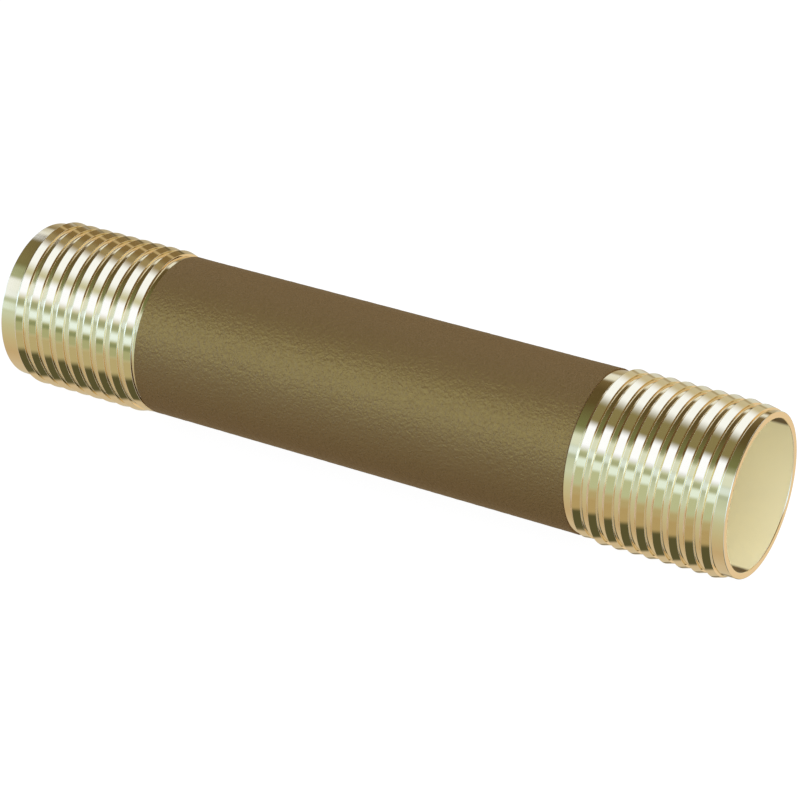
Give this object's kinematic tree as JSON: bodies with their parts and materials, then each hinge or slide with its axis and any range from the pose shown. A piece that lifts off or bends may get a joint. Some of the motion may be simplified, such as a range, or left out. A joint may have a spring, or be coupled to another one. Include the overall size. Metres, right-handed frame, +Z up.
{
  "type": "barrel nipple",
  "caption": "Straight threaded pipe nipple: plain bronze-brown barrel with a male-threaded brass end brazed into each side and a straight bore through.",
  "frame": {"origin": "the middle of the pipe, on its axis", "axes": "+X along the pipe towards threaded_end_right, +Z up with the pipe lying flat"},
  "size_m": [0.1, 0.021, 0.021],
  "materials": {
    "barrel_bronze": "satin, bronze-brown wrinkle finish",
    "polished_brass": "bright turned and polished",
    "braze_alloy": "satin, as flowed"
  },
  "bodies": {
    "root": {"barrel": "barrel_bronze", "threaded_end_right": "polished_brass", "threaded_end_left": "polished_brass", "braze_ring_right": "braze_alloy", "braze_ring_left": "braze_alloy"}
  },
  "joints": []
}
